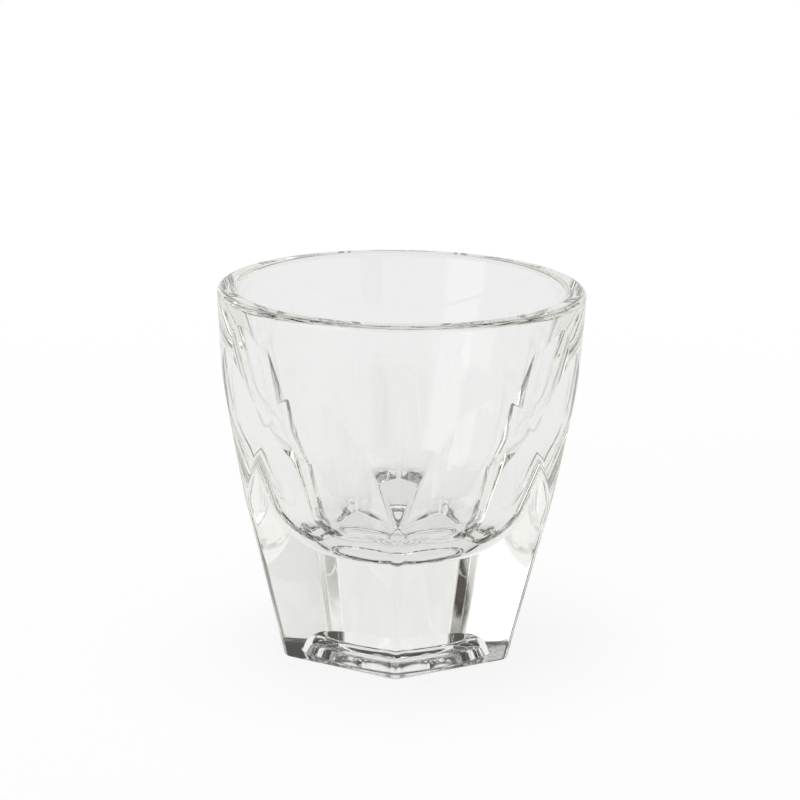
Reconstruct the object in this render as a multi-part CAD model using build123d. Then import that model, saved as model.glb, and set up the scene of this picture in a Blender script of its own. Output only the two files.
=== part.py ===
from build123d import *
from math import radians, tan
import os

# A pressed cortado glass: a round cup above, six leaning flats below, one heavy piece of clear glass.
# Millimetres, +Z up. The origin is on the table under the middle of the base, and a corner faces -Y.

# Outside
HEIGHT = 76.4
RIM_RADIUS = 38.1  # outside, before the lip is rounded
BODY_TAPER = 3.3  # degrees from upright, of the round upper wall
FLAT_COUNT = 6
FLAT_LEAN = 13.0  # degrees from upright
ARCH_DROP = 15.3  # from the rim down to the tops of the flats' arches
EDGE_ROUND = 3.0  # of the corners between flats, and of the arched edges above them
FOOT_ROUND = 0.7  # of the edge that meets the table
LIP_ROUND = 1.3  # of the lip's outer and inner edges

# Inside
LIP_WALL = 4.2  # thickness at the top, before the lip is rounded
BASE_THICKNESS = 23.4  # from the table to the floor of the cavity
WAIST_HEIGHT = 48.2  # above the table, where the cavity's wall turns inwards
WAIST_RADIUS = 28.3
WAIST_BLEND = 34.0  # radius of that turn
FLOOR_RADIUS = 18.5  # where the wall would meet the floor without its rounding
FLOOR_ROUND = 16.0  # between the wall and the floor

# Underside
RING_WIDTH = 7.0  # of the standing ring, at the middle of a flat
RECESS_DEPTH = 4.7
RECESS_DRAFT = 27.0  # degrees from upright, of the recess's side
RECESS_ROUND = 5.0  # between the recess's side and its roof
RING_ROUND = 0.5  # of the standing ring's inner edge


def turned(section):
    """A solid of revolution from a face drawn with its radius along X and its height along Y."""
    return revolve(Plane.XZ * section, Axis.Z)


def rounded_at(section, corner, radius):
    """The section with the corner nearest the given point rounded."""
    return fillet(section.vertices().sort_by_distance(corner)[0], radius)


def outer_radius(height):
    """The radius of the round outer wall at a height above the table."""
    return RIM_RADIUS - (HEIGHT - height) * tan(radians(BODY_TAPER))


def flat_distance():
    """From the axis to a flat at the table, so that the flats meet the round wall at the arches' tops."""
    arch_top = HEIGHT - ARCH_DROP
    return outer_radius(arch_top) - arch_top * tan(radians(FLAT_LEAN))


def round_glass():
    """The glass before its flats are pressed: cone outside, cavity inside, rounded lip on top."""
    rim = (RIM_RADIUS, HEIGHT)
    mouth = (RIM_RADIUS - LIP_WALL, HEIGHT)
    waist = (WAIST_RADIUS, WAIST_HEIGHT)
    floor_edge = (FLOOR_RADIUS, BASE_THICKNESS)
    outside = [(0, 0), (outer_radius(0), 0), rim]
    inside = [mouth, waist, floor_edge, (0, BASE_THICKNESS)]
    section = make_face(Polyline(*outside, *inside, close=True))
    section = rounded_at(section, rim, LIP_ROUND)
    section = rounded_at(section, mouth, LIP_ROUND)
    section = rounded_at(section, waist, WAIST_BLEND)
    section = rounded_at(section, floor_edge, FLOOR_ROUND)
    return turned(section)


def flat_sided_block():
    """A six-sided block that widens upwards, with its upright corners rounded."""
    outline = RegularPolygon(flat_distance(), FLAT_COUNT, major_radius=False, rotation=30)
    block = extrude(outline, HEIGHT, taper=-FLAT_LEAN)
    corners = block.edges().filter_by(lambda edge: edge.length > HEIGHT)
    return fillet(corners, EDGE_ROUND)


def recess():
    """The round hollow under the base, which leaves a standing ring."""
    radius = flat_distance() - RING_WIDTH
    roof_edge = (radius - RECESS_DEPTH * tan(radians(RECESS_DRAFT)), RECESS_DEPTH)
    outline = Polyline((0, 0), (radius, 0), roof_edge, (0, RECESS_DEPTH), close=True)
    return turned(rounded_at(make_face(outline), roof_edge, RECESS_ROUND))


def arched_edges(glass):
    """The edges where the flats run out into the round outer wall, the widest cone on the glass."""
    cones = glass.faces().filter_by(GeomType.CONE)
    outer_wall = cones.sort_by(lambda face: face.bounding_box().size.X)[-1]
    return outer_wall.edges().filter_by(GeomType.BSPLINE)


def table_edges(glass):
    """The edges that lie on the table."""
    return glass.edges().group_by(Axis.Z)[0]


def glass_tumbler():
    """The whole glass."""
    glass = round_glass() & flat_sided_block()
    glass = fillet(arched_edges(glass), EDGE_ROUND)
    glass = fillet(table_edges(glass), FOOT_ROUND)
    glass -= recess()
    return fillet(table_edges(glass).filter_by(GeomType.CIRCLE), RING_ROUND)


os.makedirs("parts", exist_ok=True)
export_step(glass_tumbler(), "parts/glass_tumbler.step")
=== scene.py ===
from math import atan, cos, pi, radians, sin, sqrt, tan

import bpy
import numpy as np
from mathutils import Matrix, Vector


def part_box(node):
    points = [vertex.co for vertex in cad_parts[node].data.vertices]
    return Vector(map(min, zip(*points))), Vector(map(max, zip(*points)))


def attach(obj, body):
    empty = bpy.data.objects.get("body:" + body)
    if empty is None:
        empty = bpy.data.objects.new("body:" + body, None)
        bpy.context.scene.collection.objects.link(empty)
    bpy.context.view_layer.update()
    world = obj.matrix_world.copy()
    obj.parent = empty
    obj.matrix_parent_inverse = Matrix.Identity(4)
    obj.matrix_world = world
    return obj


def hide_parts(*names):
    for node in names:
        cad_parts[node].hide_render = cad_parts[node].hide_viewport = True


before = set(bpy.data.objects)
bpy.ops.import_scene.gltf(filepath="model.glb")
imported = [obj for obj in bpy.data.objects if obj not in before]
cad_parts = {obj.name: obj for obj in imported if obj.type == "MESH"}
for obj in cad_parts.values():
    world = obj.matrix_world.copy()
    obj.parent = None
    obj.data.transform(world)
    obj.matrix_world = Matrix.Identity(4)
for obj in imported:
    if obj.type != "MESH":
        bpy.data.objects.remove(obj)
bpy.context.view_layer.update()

# A clear pressed cortado glass on a white sweep. The glass's sizes are in millimetres, and MM turns them
# into metres. Its azimuth runs round from the corner that faces the camera, on -Y, towards +X.
MM = 0.001

# Outside of the glass
NODE = "glass_tumbler"
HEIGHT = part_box(NODE)[1].z / MM
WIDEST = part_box(NODE)[1].x / MM
BODY_TAPER = tan(radians(3.3))  # of the round upper wall, as radius gained per height
LIP_ROUND = 1.3  # of the lip's outer and inner edge
FLAT_COUNT = 6
FLAT_LEAN = tan(radians(13.0))  # of the flats, as distance gained per height
ARCH_DROP = 15.3  # from the rim down to the tops of the flats' arches
EDGE_ROUND = 3.0  # of the corners between flats, and of the arched edges above them
FOOT_ROUND = 0.7  # of the edge that meets the table

# Inside of the glass
LIP_WALL = 4.2  # thickness at the top, before the lip is rounded
BASE_THICKNESS = 23.4  # from the table to the floor of the cavity
WAIST_HEIGHT = 48.2  # above the table, where the cavity's wall turns inwards
WAIST_RADIUS = 28.3
WAIST_BLEND = 34.0  # radius of that turn
FLOOR_RADIUS = 18.5  # where the wall would meet the floor without its rounding
FLOOR_ROUND = 16.0

# Underside of the glass
RING_WIDTH = 7.0  # of the standing ring, at the middle of a flat
RECESS_DEPTH = 4.7
RECESS_DRAFT = tan(radians(27.0))  # of the recess's side, as radius lost per height
RECESS_ROUND = 5.0  # between the recess's side and its roof
RING_ROUND = 0.5  # of the standing ring's inner edge

# How finely the glass is drawn
CORNER_COLUMNS = 8
FLAT_COLUMNS = 56
FOOT_ROWS = 8
FLAT_ROWS = 41
ARCH_ROWS = 8
CONE_ROWS = 30
ROW_STEP = 1.0  # about the length of a step along a straight run of a turned surface
ARC_STEP = radians(6)  # about the turn between two rows of a turned surface's rounding
SLOPE_STEP = 0.002  # over which the outside's slope is measured
POLE_RADIUS = 1.0  # of the flat face that closes the mesh at the axis, above and below
RING_INSET = 3.0  # from the foot's rounding in to the last round row of the standing ring

# Finish of the glass
IOR = 1.52
ABSORPTION_TINT = (0.86, 0.87, 0.74, 1)
ABSORPTION = 4.0  # per metre
POLISH = 0.004  # least roughness, of the fire-polished skin
POLISH_SPREAD = 0.02
POLISH_FROM, POLISH_TO = 0.3, 0.8  # speck values over which the polish spreads
SCUFF = 0.18  # most roughness, where the standing ring has rubbed on tables
SCUFF_FROM, SCUFF_TO = 0.45, 0.6  # speck values over which the scuffs begin
SCUFF_HEIGHT = 0.0004
SPECK_SIZE = 0.0012
SPECK_DETAIL = 3
WAVE_SIZE = 0.014  # of the slow waves that the mould leaves
WAVE_DEPTH = 0.00003

# Studio
WHITE = (1, 1, 1, 1)
FLOOR_SIZE = 12.0
FLOOR_GAP = 0.00005  # under the glass
PAPER = (0.9, 0.9, 0.9, 1)
SHADOW_SHARE = 0.12  # of the floor's tone near the glass, which is lit paper and takes the shadow
FADE_FROM, FADE_TO = 0.12, 0.35  # distances over which that share fades out
FLOOR_TONE = 0.85  # of the floor as the glass shows it
SWEEP_FROM, SWEEP_TO = 0.4, 2.5  # distances over which the floor turns into the walls' tone
WALL_TONE, CEILING_TONE = 0.95, 0.02
WALL_TINT = (1, 0.99, 0.985, 1)
CEILING_FROM, CEILING_TO = radians(5), radians(40)  # elevations over which the walls turn into the ceiling
FILL_HEIGHT = 1.5
FILL_SIZE = 1.0
FILL_TONE = 7.5  # of the lamp's own surface, where 1 is white

# Cards round the glass: bearing from straight behind it towards the right, elevation, distance
KEY_PLACE = (-131, 15, 1.2)
KEY_SIZE = (0.8, 1.25)
KEY_TONE = 2.0
BACKDROP_PLACE = (0, 22, 1.4)
BACKDROP_SIZE = (1.7, 1.3)
BACKDROP_TONE = 0.9
OVERHEAD_PLACE = (120, 76, 1.2)
OVERHEAD_SIZE = (0.5, 0.5)
OVERHEAD_TONE = 0.6
SIDE_PLACE = (128, 29, 1.2)
SIDE_SIZE = (0.6, 0.5)
SIDE_TONE = 0.5
DARK_PLACE = (-57.9, 8, 1.2)
DARK_SIZE = (0.333, 0.4)
FLAG_PLACE = (157, 29, 1.2)
FLAG_SIZE = (0.42, 0.85)
DARK_BROWN = (0.03, 0.015, 0.006, 1)
CRISP, SOFT = 0.06, 0.4  # share of a card over which it fades out

# Camera
CAMERA_PLACE = (0, -0.5409, 0.1936)
CAMERA_TILT = 0.256  # radians down from level
CAMERA_ROLL = 0.0163
SENSOR_WIDTH = 36
LENS = 120.85
CLIP_START = 0.01
MOST_BOUNCES = 32
GLOSSY_BOUNCES = 16

# Sizes that follow from those above
RIM_RADIUS = WIDEST + LIP_ROUND * (BODY_TAPER + sqrt(1 + BODY_TAPER**2) - 1)  # before the lip is rounded
LIP_HEIGHT = HEIGHT - 2 * LIP_ROUND  # where the lip's rows take over from the outer wall's
CONE_FOOT = RIM_RADIUS - HEIGHT * BODY_TAPER  # radius of the round wall, carried down to the table
ARCH_TOP = HEIGHT - ARCH_DROP
FLAT_FOOT = CONE_FOOT + ARCH_TOP * (BODY_TAPER - FLAT_LEAN)  # from the axis to a flat, at the table
SECTOR = 2 * pi / FLAT_COUNT
CORNER_REACH = EDGE_ROUND * tan(SECTOR / 2)  # of a corner's rounding, along the flat
CORNER_SHARE = CORNER_REACH / (FLAT_FOOT + ARCH_TOP / 2 * FLAT_LEAN)  # of a flat's distance, halfway up


def soft_min(a, b, reach):
    """The smaller of a and b, rounded where they differ by less than reach."""
    near = np.maximum(reach - np.abs(a - b), 0) / reach
    return np.minimum(a, b) - near**2 * reach / 4


def from_corner(azimuth):
    """How far round an azimuth lies from the nearest corner."""
    return np.abs((azimuth + SECTOR / 2) % SECTOR - SECTOR / 2)


def spread(azimuth):
    """How far out the six-sided outline lies, as a multiple of the distance to a flat's middle."""
    off = from_corner(azimuth)
    near_flat = 1 / np.cos(SECTOR / 2 - off)
    next_flat = 1 / np.cos(SECTOR / 2 + off)
    return soft_min(near_flat, next_flat, CORNER_SHARE)


def arch_height(azimuth):
    """The height where a flat runs out into the round wall."""
    out = spread(azimuth)
    return (CONE_FOOT - FLAT_FOOT * out) / (FLAT_LEAN * out - BODY_TAPER)


def arch_reach(azimuth):
    """How far apart the flat and the round wall are, where the rounding between them begins."""
    side = SECTOR / 2 - from_corner(azimuth)
    lean = atan(FLAT_LEAN)
    taper = atan(BODY_TAPER)
    turn = np.arccos(cos(lean) * cos(taper) * np.cos(side) + sin(lean) * sin(taper))
    return EDGE_ROUND * np.tan(turn / 2) * np.tan(turn)


def outside(azimuth, height):
    """The outer radius above the foot."""
    flat = (FLAT_FOOT + FLAT_LEAN * height) * spread(azimuth)
    cone = CONE_FOOT + BODY_TAPER * height
    return soft_min(flat, cone, arch_reach(azimuth))


def columns():
    """Azimuths of the mesh's columns, close together on the corners' roundings."""
    half = CORNER_REACH * cos(SECTOR / 2) ** 2 / FLAT_FOOT
    corner = np.linspace(-half, half, CORNER_COLUMNS, endpoint=False)
    flat = np.linspace(half, SECTOR - half, FLAT_COLUMNS, endpoint=False)
    one = np.concatenate([corner, flat])
    return np.concatenate([one + SECTOR * k for k in range(FLAT_COUNT)])


def row(azimuth, radius, height, out, along, up):
    """One ring of the mesh: its points and unit normals, given outwards, round the axis and upwards."""
    radius, height, out, along, up = np.broadcast_arrays(radius, height, out, along, up, azimuth)[:5]
    outwards = np.stack([np.sin(azimuth), -np.cos(azimuth), np.zeros_like(azimuth)], 1)
    onwards = np.stack([np.cos(azimuth), np.sin(azimuth), np.zeros_like(azimuth)], 1)
    points = radius[:, None] * outwards
    points[:, 2] = height
    normals = out[:, None] * outwards + along[:, None] * onwards
    normals[:, 2] = up
    return points, normals / np.linalg.norm(normals, axis=1, keepdims=True)


def straight(start, end, way):
    """Points along a straight run, both ends among them."""
    steps = max(1, round((end - start).length / ROW_STEP))
    return [(start.lerp(end, step / steps), way) for step in range(steps + 1)]


def rounded_path(corners):
    """Points and directions along straight runs between (radius, height, rounding) corners."""
    places = [Vector(corner[:2]) for corner in corners]
    path = []
    start = places[0]
    for before, here, after, corner in zip(places, places[1:], places[2:], corners[1:]):
        rounding = corner[2]
        way_in = (here - before).normalized()
        way_out = (after - here).normalized()
        turn = -way_in.angle_signed(way_out, 0)
        reach = rounding * tan(abs(turn) / 2)
        path += straight(start, here - way_in * reach, way_in)
        steps = max(2, round(abs(turn) / ARC_STEP))
        side = Vector((-way_in.y, way_in.x)) * (1 if turn > 0 else -1)
        middle = here - way_in * reach + side * rounding
        for step in range(1, steps):
            swing = Matrix.Rotation(turn * step / steps, 2)
            path.append((middle - swing @ side * rounding, swing @ way_in))
        start = here + way_out * reach
    last = (places[-1] - places[-2]).normalized()
    return path + straight(start, places[-1], last)


def turned_rows(azimuth, corners):
    """Rings of a turned surface, whose path keeps the air on its right."""
    return [row(azimuth, at.x, at.y, way.y, 0, -way.x) for at, way in rounded_path(corners)]


def foot_rows(azimuth):
    """The edge that meets the table: where its rounding begins, and rings from there up to the flats."""
    lean = FLAT_LEAN * spread(azimuth)
    middle = (FLAT_FOOT * spread(azimuth) + lean * FOOT_ROUND) - FOOT_ROUND * np.sqrt(1 + lean**2)
    slope = np.gradient(middle, azimuth)
    rows = []
    for step in range(1, FOOT_ROWS):
        swing = -pi / 2 + (pi / 2 - np.arctan(lean)) * step / FOOT_ROWS
        out = np.cos(swing)
        up = np.sin(swing)
        radius = middle + FOOT_ROUND * out
        height = FOOT_ROUND * (1 + up)
        rows.append(row(azimuth, radius, height, out, -out * slope / radius, up))
    return middle, rows


def wall_heights(azimuth):
    """Heights of the outer wall's rings, which follow the arches and close up on their roundings."""
    arch = arch_height(azimuth)
    half = arch_reach(azimuth) / (FLAT_LEAN * spread(azimuth) - BODY_TAPER)
    lean = np.arctan(FLAT_LEAN * spread(azimuth))
    foot = FOOT_ROUND * (1 - np.sin(lean))
    flat_end = arch - half
    cone_start = arch + half
    flat = [foot + (flat_end - foot) * k for k in np.linspace(0, 1, FLAT_ROWS, endpoint=False)]
    rounding = [arch + half * k for k in np.linspace(-1, 1, ARCH_ROWS, endpoint=False)]
    cone = [cone_start + (LIP_HEIGHT - cone_start) * k for k in np.linspace(0, 1, CONE_ROWS)]
    return flat + rounding + cone


def wall_rows(azimuth):
    """Rings of the outer wall, from the foot's rounding to the lip."""
    swing = SLOPE_STEP / RIM_RADIUS
    rows = []
    for height in wall_heights(azimuth):
        radius = outside(azimuth, height)
        rise = outside(azimuth, height + SLOPE_STEP) - outside(azimuth, height - SLOPE_STEP)
        drift = outside(azimuth + swing, height) - outside(azimuth - swing, height)
        along = drift / 2 / swing / radius
        up = rise / 2 / SLOPE_STEP
        rows.append(row(azimuth, radius, height, 1, -along, -up))
    return rows


def glass_rows(azimuth):
    """All rings of the glass, from the middle of its underside, over the lip, to the middle of its floor."""
    foot_start, foot = foot_rows(azimuth)
    recess = FLAT_FOOT - RING_WIDTH
    under = [
        (POLE_RADIUS, RECESS_DEPTH, 0),
        (recess - RECESS_DEPTH * RECESS_DRAFT, RECESS_DEPTH, RECESS_ROUND),
        (recess, 0, RING_ROUND),
        (foot_start.min() - RING_INSET, 0, 0),
    ]
    cup = [
        (CONE_FOOT + LIP_HEIGHT * BODY_TAPER, LIP_HEIGHT, 0),
        (RIM_RADIUS, HEIGHT, LIP_ROUND),
        (RIM_RADIUS - LIP_WALL, HEIGHT, LIP_ROUND),
        (WAIST_RADIUS, WAIST_HEIGHT, WAIST_BLEND),
        (FLOOR_RADIUS, BASE_THICKNESS, FLOOR_ROUND),
        (POLE_RADIUS, BASE_THICKNESS, 0),
    ]
    rows = turned_rows(azimuth, under)
    rows.append(row(azimuth, foot_start, 0, 0, 0, -1))
    return rows + foot + wall_rows(azimuth) + turned_rows(azimuth, cup)[1:]


def glass_mesh():
    """The glass as one closed mesh with exact normals."""
    azimuth = columns()
    rows = glass_rows(azimuth)
    points = np.concatenate([places for places, normals in rows]) * MM
    normals = np.concatenate([normals for places, normals in rows])
    count = len(azimuth)
    faces = []
    for lower in range(0, (len(rows) - 1) * count, count):
        upper = lower + count
        for k in range(count):
            after = (k + 1) % count
            faces.append((lower + k, lower + after, upper + after, upper + k))
    faces.append(tuple(reversed(range(count))))
    faces.append(tuple(range(len(points) - count, len(points))))
    mesh = bpy.data.meshes.new(NODE)
    mesh.from_pydata(points.tolist(), [], faces)
    mesh.shade_smooth()
    mesh.normals_split_custom_set_from_vertices(normals.tolist())
    return mesh


def add(name, data):
    """A new object in the scene."""
    thing = bpy.data.objects.new(name, data)
    bpy.context.scene.collection.objects.link(thing)
    return thing


def sheet(name, width, depth):
    """A new flat rectangle, lying round the origin."""
    right = width / 2
    back = depth / 2
    mesh = bpy.data.meshes.new(name)
    corners = [(-right, -back, 0), (right, -back, 0), (right, back, 0), (-right, back, 0)]
    mesh.from_pydata(corners, [], [(0, 1, 2, 3)])
    return add(name, mesh)


def link(tree, source, target):
    """Joins two sockets, or sets the target to a plain value."""
    if hasattr(source, "links"):
        tree.links.new(source, target)
    else:
        target.default_value = source


def calc(tree, operation, *values):
    """A Math node's result."""
    node = tree.nodes.new("ShaderNodeMath")
    node.operation = operation
    for value, socket in zip(values, node.inputs):
        link(tree, value, socket)
    return node.outputs[0]


def ramp(tree, value, low, high, at_low, at_high):
    """A smooth change from at_low to at_high as a value goes from low to high."""
    node = tree.nodes.new("ShaderNodeMapRange")
    node.interpolation_type = "SMOOTHSTEP"
    for socket, number in zip(node.inputs, (value, low, high, at_low, at_high)):
        link(tree, number, socket)
    return node.outputs[0]


def noise(tree, place, size, detail):
    """Smooth noise, about 0.5 on average, with lumps of the given size."""
    node = tree.nodes.new("ShaderNodeTexNoise")
    node.inputs["Scale"].default_value = 1 / size
    node.inputs["Detail"].default_value = detail
    tree.links.new(place, node.inputs["Vector"])
    return node.outputs["Fac"]


def mixed(tree, share, first, second):
    """A mix of two shaders, which is all the second where the share is 1."""
    node = tree.nodes.new("ShaderNodeMixShader")
    tree.links.new(share, node.inputs["Fac"])
    tree.links.new(first.outputs[0], node.inputs[1])
    tree.links.new(second.outputs[0], node.inputs[2])
    return node.outputs[0]


def new_material(name):
    """A material with no nodes yet, and its node tree."""
    material = bpy.data.materials.new(name)
    material.use_nodes = True
    material.node_tree.nodes.clear()
    return material, material.node_tree


def clear_glass():
    """Fire-polished clear glass: slow waves from the mould, faint specks, and a scuffed standing ring."""
    material = bpy.data.materials.new("clear_glass")
    material.use_nodes = True
    tree = material.node_tree
    shader = tree.nodes["Principled BSDF"]
    shader.inputs["Base Color"].default_value = WHITE
    shader.inputs["IOR"].default_value = IOR
    shader.inputs["Transmission Weight"].default_value = 1
    place = tree.nodes.new("ShaderNodeTexCoord").outputs["Object"]
    height = tree.nodes.new("ShaderNodeSeparateXYZ")
    tree.links.new(place, height.inputs[0])
    specks = noise(tree, place, SPECK_SIZE, SPECK_DETAIL)
    ring = ramp(tree, height.outputs["Z"], 0, SCUFF_HEIGHT, 1, 0)
    scuffs = calc(tree, "MULTIPLY", ring, ramp(tree, specks, SCUFF_FROM, SCUFF_TO, 0, SCUFF))
    polish = ramp(tree, specks, POLISH_FROM, POLISH_TO, POLISH, POLISH + POLISH_SPREAD)
    tree.links.new(calc(tree, "ADD", polish, scuffs), shader.inputs["Roughness"])
    waves = tree.nodes.new("ShaderNodeBump")
    waves.inputs["Distance"].default_value = WAVE_DEPTH
    tree.links.new(noise(tree, place, WAVE_SIZE, 0), waves.inputs["Height"])
    tree.links.new(waves.outputs["Normal"], shader.inputs["Normal"])
    body = tree.nodes.new("ShaderNodeVolumeAbsorption")
    body.inputs["Color"].default_value = ABSORPTION_TINT
    body.inputs["Density"].default_value = ABSORPTION
    tree.links.new(body.outputs["Volume"], tree.nodes["Material Output"].inputs["Volume"])
    return material


def floor_paper():
    """Paper that takes the shadow near the glass, white for the camera and pale where the glass shows it."""
    material, tree = new_material("floor_paper")
    paper = tree.nodes.new("ShaderNodeBsdfDiffuse")
    paper.inputs["Color"].default_value = PAPER
    glow = tree.nodes.new("ShaderNodeEmission")
    path = tree.nodes.new("ShaderNodeLightPath").outputs
    away = tree.nodes.new("ShaderNodeVectorMath")
    away.operation = "LENGTH"
    tree.links.new(tree.nodes.new("ShaderNodeNewGeometry").outputs["Position"], away.inputs[0])
    distance = away.outputs["Value"]
    sweep = ramp(tree, distance, SWEEP_FROM, SWEEP_TO, FLOOR_TONE, WALL_TONE)
    tree.links.new(calc(tree, "MAXIMUM", sweep, path["Is Camera Ray"]), glow.inputs["Strength"])
    share = ramp(tree, distance, FADE_FROM, FADE_TO, 1 - SHADOW_SHARE, 1)
    seen = calc(tree, "MAXIMUM", path["Is Camera Ray"], path["Is Transmission Ray"])
    seen = calc(tree, "MAXIMUM", seen, path["Is Glossy Ray"])
    surface = mixed(tree, calc(tree, "MULTIPLY", share, seen), paper, glow)
    tree.links.new(surface, tree.nodes.new("ShaderNodeOutputMaterial").inputs["Surface"])
    return material


def studio_world():
    """Pale walls all round, a dim ceiling, and plain white for the camera itself."""
    world = bpy.data.worlds.new("studio")
    world.use_nodes = True
    tree = world.node_tree
    tree.nodes.clear()
    way = tree.nodes.new("ShaderNodeSeparateXYZ")
    tree.links.new(tree.nodes.new("ShaderNodeTexCoord").outputs["Generated"], way.inputs[0])
    tone = ramp(tree, way.outputs["Z"], sin(CEILING_FROM), sin(CEILING_TO), WALL_TONE, CEILING_TONE)
    room = tree.nodes.new("ShaderNodeBackground")
    room.inputs["Color"].default_value = WALL_TINT
    tree.links.new(tone, room.inputs["Strength"])
    white = tree.nodes.new("ShaderNodeBackground")
    white.inputs["Color"].default_value = WHITE
    camera_ray = tree.nodes.new("ShaderNodeLightPath").outputs["Is Camera Ray"]
    surface = mixed(tree, camera_ray, room, white)
    tree.links.new(surface, tree.nodes.new("ShaderNodeOutputWorld").inputs["Surface"])
    return world


def card_paper(name, size, color, tone, edge):
    """The even tone of a card, which fades out towards its edges."""
    material, tree = new_material(name)
    glow = tree.nodes.new("ShaderNodeEmission")
    glow.inputs["Color"].default_value = color
    glow.inputs["Strength"].default_value = tone
    place = tree.nodes.new("ShaderNodeSeparateXYZ")
    tree.links.new(tree.nodes.new("ShaderNodeTexCoord").outputs["Object"], place.inputs[0])
    shown = 1
    for socket, length in zip(place.outputs, size):
        off = calc(tree, "ABSOLUTE", socket)
        shown = calc(tree, "MULTIPLY", shown, ramp(tree, off, length / 2 * (1 - edge), length / 2, 1, 0))
    surface = mixed(tree, shown, tree.nodes.new("ShaderNodeBsdfTransparent"), glow)
    tree.links.new(surface, tree.nodes.new("ShaderNodeOutputMaterial").inputs["Surface"])
    return material


def around(bearing, elevation, distance):
    """A place seen from the glass: bearing in degrees from straight behind it, towards the right."""
    bearing = radians(bearing)
    elevation = radians(elevation)
    way = Vector((sin(bearing) * cos(elevation), cos(bearing) * cos(elevation), sin(elevation)))
    return way * distance


def card(name, place, size, color, tone=1, edge=SOFT):
    """A card that faces the glass, fades out at its edges and isn't seen by the camera."""
    thing = sheet(name, *size)
    thing.location = around(*place)
    thing.rotation_euler = thing.location.to_track_quat("Z", "Y").to_euler()
    thing.visible_camera = False
    thing.data.materials.append(card_paper(name, size, color, tone, edge))


def add_glass():
    """The glass, in place of its CAD node."""
    glass = add("pressed_glass", glass_mesh())
    glass.data.materials.append(clear_glass())
    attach(glass, "root")
    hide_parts(NODE)


def add_floor():
    """The floor that the glass stands on."""
    floor = sheet("floor", FLOOR_SIZE, FLOOR_SIZE)
    floor.location.z = -FLOOR_GAP
    floor.data.materials.append(floor_paper())


def add_fill():
    """A square lamp overhead that lights the paper, and that the glass doesn't show."""
    light = bpy.data.lights.new("paper_fill", "AREA")
    light.shape = "SQUARE"
    light.size = FILL_SIZE
    light.energy = FILL_TONE * pi * FILL_SIZE**2
    lamp = add("paper_fill", light)
    lamp.location.z = FILL_HEIGHT
    lamp.visible_glossy = False
    lamp.visible_transmission = False


def add_cards():
    """The pale and dark cards that the glass mirrors and bends into its lines."""
    card("key", KEY_PLACE, KEY_SIZE, WHITE, KEY_TONE)
    card("backdrop", BACKDROP_PLACE, BACKDROP_SIZE, WHITE, BACKDROP_TONE)
    card("overhead", OVERHEAD_PLACE, OVERHEAD_SIZE, WHITE, OVERHEAD_TONE)
    card("side", SIDE_PLACE, SIDE_SIZE, WHITE, SIDE_TONE)
    card("dark_card", DARK_PLACE, DARK_SIZE, DARK_BROWN, edge=CRISP)
    card("dark_flag", FLAG_PLACE, FLAG_SIZE, DARK_BROWN)


def add_camera():
    """The photo's camera."""
    lens = bpy.data.cameras.new("camera")
    lens.sensor_width = SENSOR_WIDTH
    lens.lens = LENS
    lens.clip_start = CLIP_START
    camera = add("camera", lens)
    tilt = Matrix.Rotation(pi / 2 - CAMERA_TILT, 4, "X")
    roll = Matrix.Rotation(CAMERA_ROLL, 4, "Z")
    camera.matrix_world = Matrix.Translation(CAMERA_PLACE) @ tilt @ roll
    return camera


add_glass()
add_floor()
add_fill()
add_cards()
scene = bpy.context.scene
scene.world = studio_world()
scene.camera = add_camera()
scene.view_settings.view_transform = "Standard"
scene.cycles.max_bounces = MOST_BOUNCES
scene.cycles.transmission_bounces = MOST_BOUNCES
scene.cycles.glossy_bounces = GLOSSY_BOUNCES
